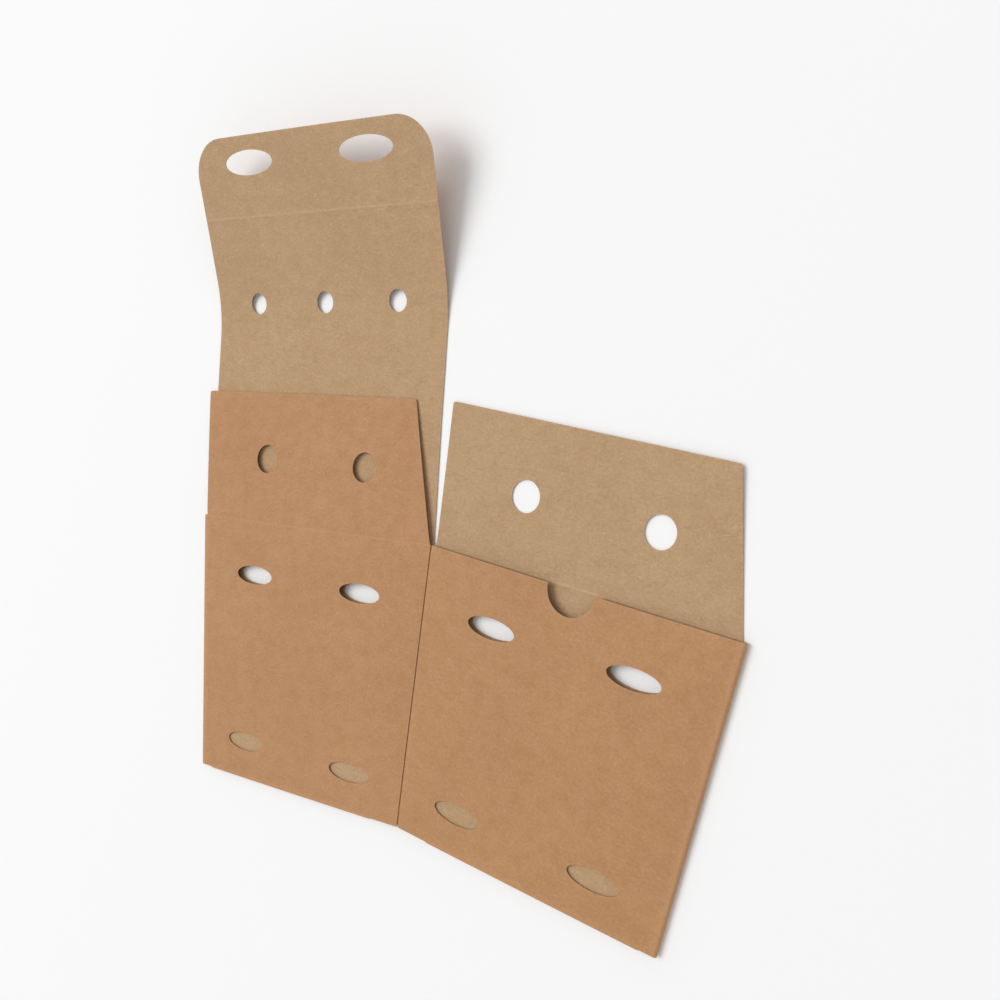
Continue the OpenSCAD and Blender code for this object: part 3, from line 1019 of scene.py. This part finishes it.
def lay_floor(stage):
    """A square floor just below the lowest ply."""
    half, low = stage.floor_size / 2, -stage.floor_gap
    sheet = bpy.data.meshes.new("floor")
    sheet.from_pydata([(-half, -half, low), (half, -half, low), (half, half, low),
                       (-half, half, low)], [], [(0, 1, 2, 3)])
    sheet.materials.append(pale_floor("pale_floor", tuple(stage.floor), tuple(stage.backdrop),
                                      stage.fade_near, stage.fade_far))
    put("floor", sheet)


def even_light(stage):
    """A world of even white light that shows as the backdrop."""
    world = bpy.data.worlds.new("studio")
    world.use_nodes = True
    n = Nodes(world.node_tree)
    even, seen = n.add("ShaderNodeBackground"), n.add("ShaderNodeBackground")
    even.inputs["Color"].default_value = (1.0, 1.0, 1.0, 1.0)
    even.inputs["Strength"].default_value = stage.sky
    seen.inputs["Color"].default_value = shade(stage.backdrop, 1.0)
    seen.inputs["Strength"].default_value = 1.0
    n.show(n.mixed(n.in_view(), even.outputs["Background"], seen.outputs["Background"]),
           "ShaderNodeOutputWorld")
    return world


def hang_lamp(stage):
    """A large soft lamp, aimed at the middle of the floor."""
    lamp = bpy.data.lights.new("key", "AREA")
    lamp.shape, lamp.size, lamp.energy = "DISK", stage.key_size, stage.key
    lamp = put("key", lamp)
    lamp.location = stage.key_place
    lamp.rotation_euler = (-Vector(stage.key_place)).to_track_quat("-Z", "Y").to_euler()


def set_camera(stage):
    """The camera at its place, turned by tilt, lean and roll."""
    camera = bpy.data.cameras.new("camera")
    camera.sensor_width, camera.lens, camera.clip_start = SENSOR_MM, stage.lens, CLIP_START
    camera = put("camera", camera)
    camera.location = stage.eye
    camera.rotation_euler = Euler((stage.tilt, stage.lean, stage.roll), "XYZ")
    return camera


# Operators

class FRIES_BOX_OT_fold_board(bpy.types.Operator):
    """Cut the blank, fold it flat and give it its kraft finish"""

    bl_idname = "fries_box.fold_board"
    bl_label = "Fold the board"

    def execute(self, context):
        mesh = board_mesh(plan_of(context.scene.fries_box_sizes))
        finish = context.scene.fries_box_finish
        mesh.materials.append(kraft_face("kraft_outside", tuple(finish.outside),
                                         OUTSIDE_ROUGH, OUTSIDE_SHIFT))
        mesh.materials.append(kraft_face("kraft_inside", tuple(finish.inside),
                                         INSIDE_ROUGH, INSIDE_SHIFT))
        mesh.materials.append(cut_core("kraft_cut", tuple(finish.cut_edge)))
        piece = put(PIECE, mesh)
        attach(piece, "root")
        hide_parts(NODE)
        return {"FINISHED"}


class FRIES_BOX_OT_set_stage(bpy.types.Operator):
    """Lay the floor, hang the lamp and set the camera"""

    bl_idname = "fries_box.set_stage"
    bl_label = "Set the stage"

    def execute(self, context):
        scene, stage = context.scene, context.scene.fries_box_stage
        lay_floor(stage)
        scene.world = even_light(stage)
        hang_lamp(stage)
        scene.camera = set_camera(stage)
        scene.view_settings.view_transform = "Standard"
        return {"FINISHED"}


class FRIES_BOX_PT_make(bpy.types.Panel):
    """Sizes, finish and stage of the fries box"""

    bl_label = "Fries box"
    bl_space_type = "VIEW_3D"
    bl_region_type = "UI"
    bl_category = "Fries box"

    def draw(self, context):
        for group in ("fries_box_sizes", "fries_box_finish", "fries_box_stage"):
            box = self.layout.box()
            values = getattr(context.scene, group)
            for key in type(values).__annotations__:
                box.prop(values, key)
        self.layout.operator(FRIES_BOX_OT_fold_board.bl_idname)
        self.layout.operator(FRIES_BOX_OT_set_stage.bl_idname)


GROUPS = {
    "fries_box_sizes": FriesBoxSizes,
    "fries_box_finish": FriesBoxFinish,
    "fries_box_stage": FriesBoxStage,
}
CLASSES = (*GROUPS.values(), FRIES_BOX_OT_fold_board, FRIES_BOX_OT_set_stage, FRIES_BOX_PT_make)


def register():
    """Make the classes known and hang the settings on the scene."""
    for cls in CLASSES:
        bpy.utils.register_class(cls)
    for key, group in GROUPS.items():
        setattr(bpy.types.Scene, key, PointerProperty(type=group))


def unregister():
    """Take the settings and the classes away again."""
    for key in GROUPS:
        delattr(bpy.types.Scene, key)
    for cls in reversed(CLASSES):
        bpy.utils.unregister_class(cls)


def main():
    """Make the box and its stage."""
    register()
    bpy.ops.fries_box.fold_board()
    bpy.ops.fries_box.set_stage()


if __name__ == "__main__":
    main()
